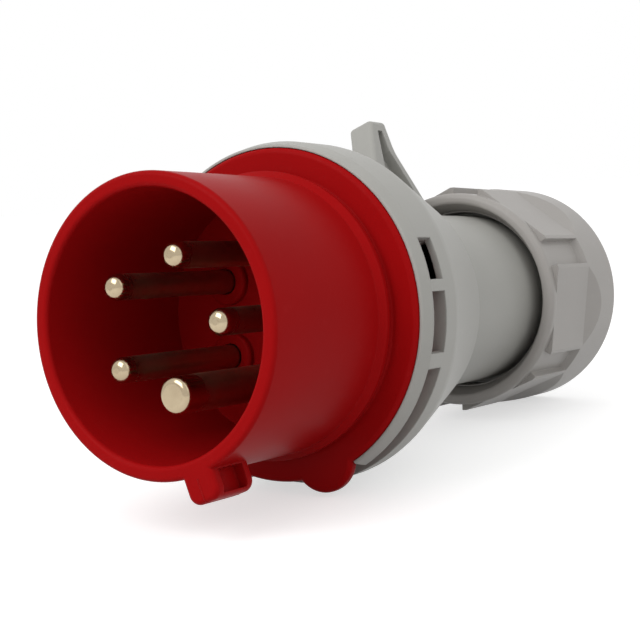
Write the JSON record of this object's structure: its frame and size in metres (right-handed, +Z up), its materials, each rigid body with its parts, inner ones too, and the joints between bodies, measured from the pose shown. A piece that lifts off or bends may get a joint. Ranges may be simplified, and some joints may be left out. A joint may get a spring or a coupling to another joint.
{
  "type": "industrial pin and sleeve plug",
  "caption": "Round industrial power plug: red sleeve with key and long contact pins, grey housing with slotted front ring and fin, six-sided cable gland nut.",
  "frame": {"origin": "centre of the sleeve's mouth plane, on the plug's axis", "axes": "+Y along the axis from the mouth to the cable gland, +Z up with the plug lying on its side, +X to the right when looking along +Y; the key is 21.2 degrees from straight down, towards +X"},
  "size_m": [0.0716, 0.1585, 0.0815],
  "materials": {
    "red_plastic": "satin moulded polyamide",
    "grey_plastic": "fine satin moulded polyamide",
    "contact_brass": "turned, lightly plated",
    "screw_steel": "zinc plated",
    "inner_plastic": "plain moulded",
    "seal_rubber": "matte"
  },
  "bodies": {
    "carrier": {"contact_carrier": "red_plastic", "earth_pin": "contact_brass", "earth_terminal_screw": "screw_steel", "earth_wire_guard": "screw_steel", "line_pin_1": "contact_brass", "line_1_terminal_screw": "screw_steel", "line_1_wire_guard": "screw_steel", "line_pin_2": "contact_brass", "line_2_terminal_screw": "screw_steel", "line_2_wire_guard": "screw_steel", "line_pin_3": "contact_brass", "line_3_terminal_screw": "screw_steel", "line_3_wire_guard": "screw_steel", "neutral_pin": "contact_brass", "neutral_terminal_screw": "screw_steel", "neutral_wire_guard": "screw_steel", "pin_retainer": "inner_plastic", "retainer_screw": "screw_steel"},
    "housing": {"housing": "grey_plastic", "clamping_cage": "inner_plastic", "gland_seal": "seal_rubber"},
    "thrust_ring": {"thrust_ring": "inner_plastic"},
    "gland_nut": {"gland_nut": "grey_plastic"}
  },
  "joints": [
    {"name": "bayonet_turn", "type": "hinge", "parent": "carrier", "child": "housing", "pos_m": [0, 0.0475, 0], "axis": [0, -1, 0], "range_deg": [0, 18]},
    {"name": "nut_travel", "type": "slide", "parent": "housing", "child": "thrust_ring", "axis": [0, 1, 0], "range_m": [0, 0.009]},
    {"name": "nut_turn", "type": "hinge", "parent": "thrust_ring", "child": "gland_nut", "pos_m": [0, 0.135, 0], "axis": [0, 1, 0], "range_deg": [0, 1080]}
  ],
  "couplings": [
    {"joint": "nut_travel", "follows": "nut_turn", "m_per_rad": 0.00047746}
  ]
}
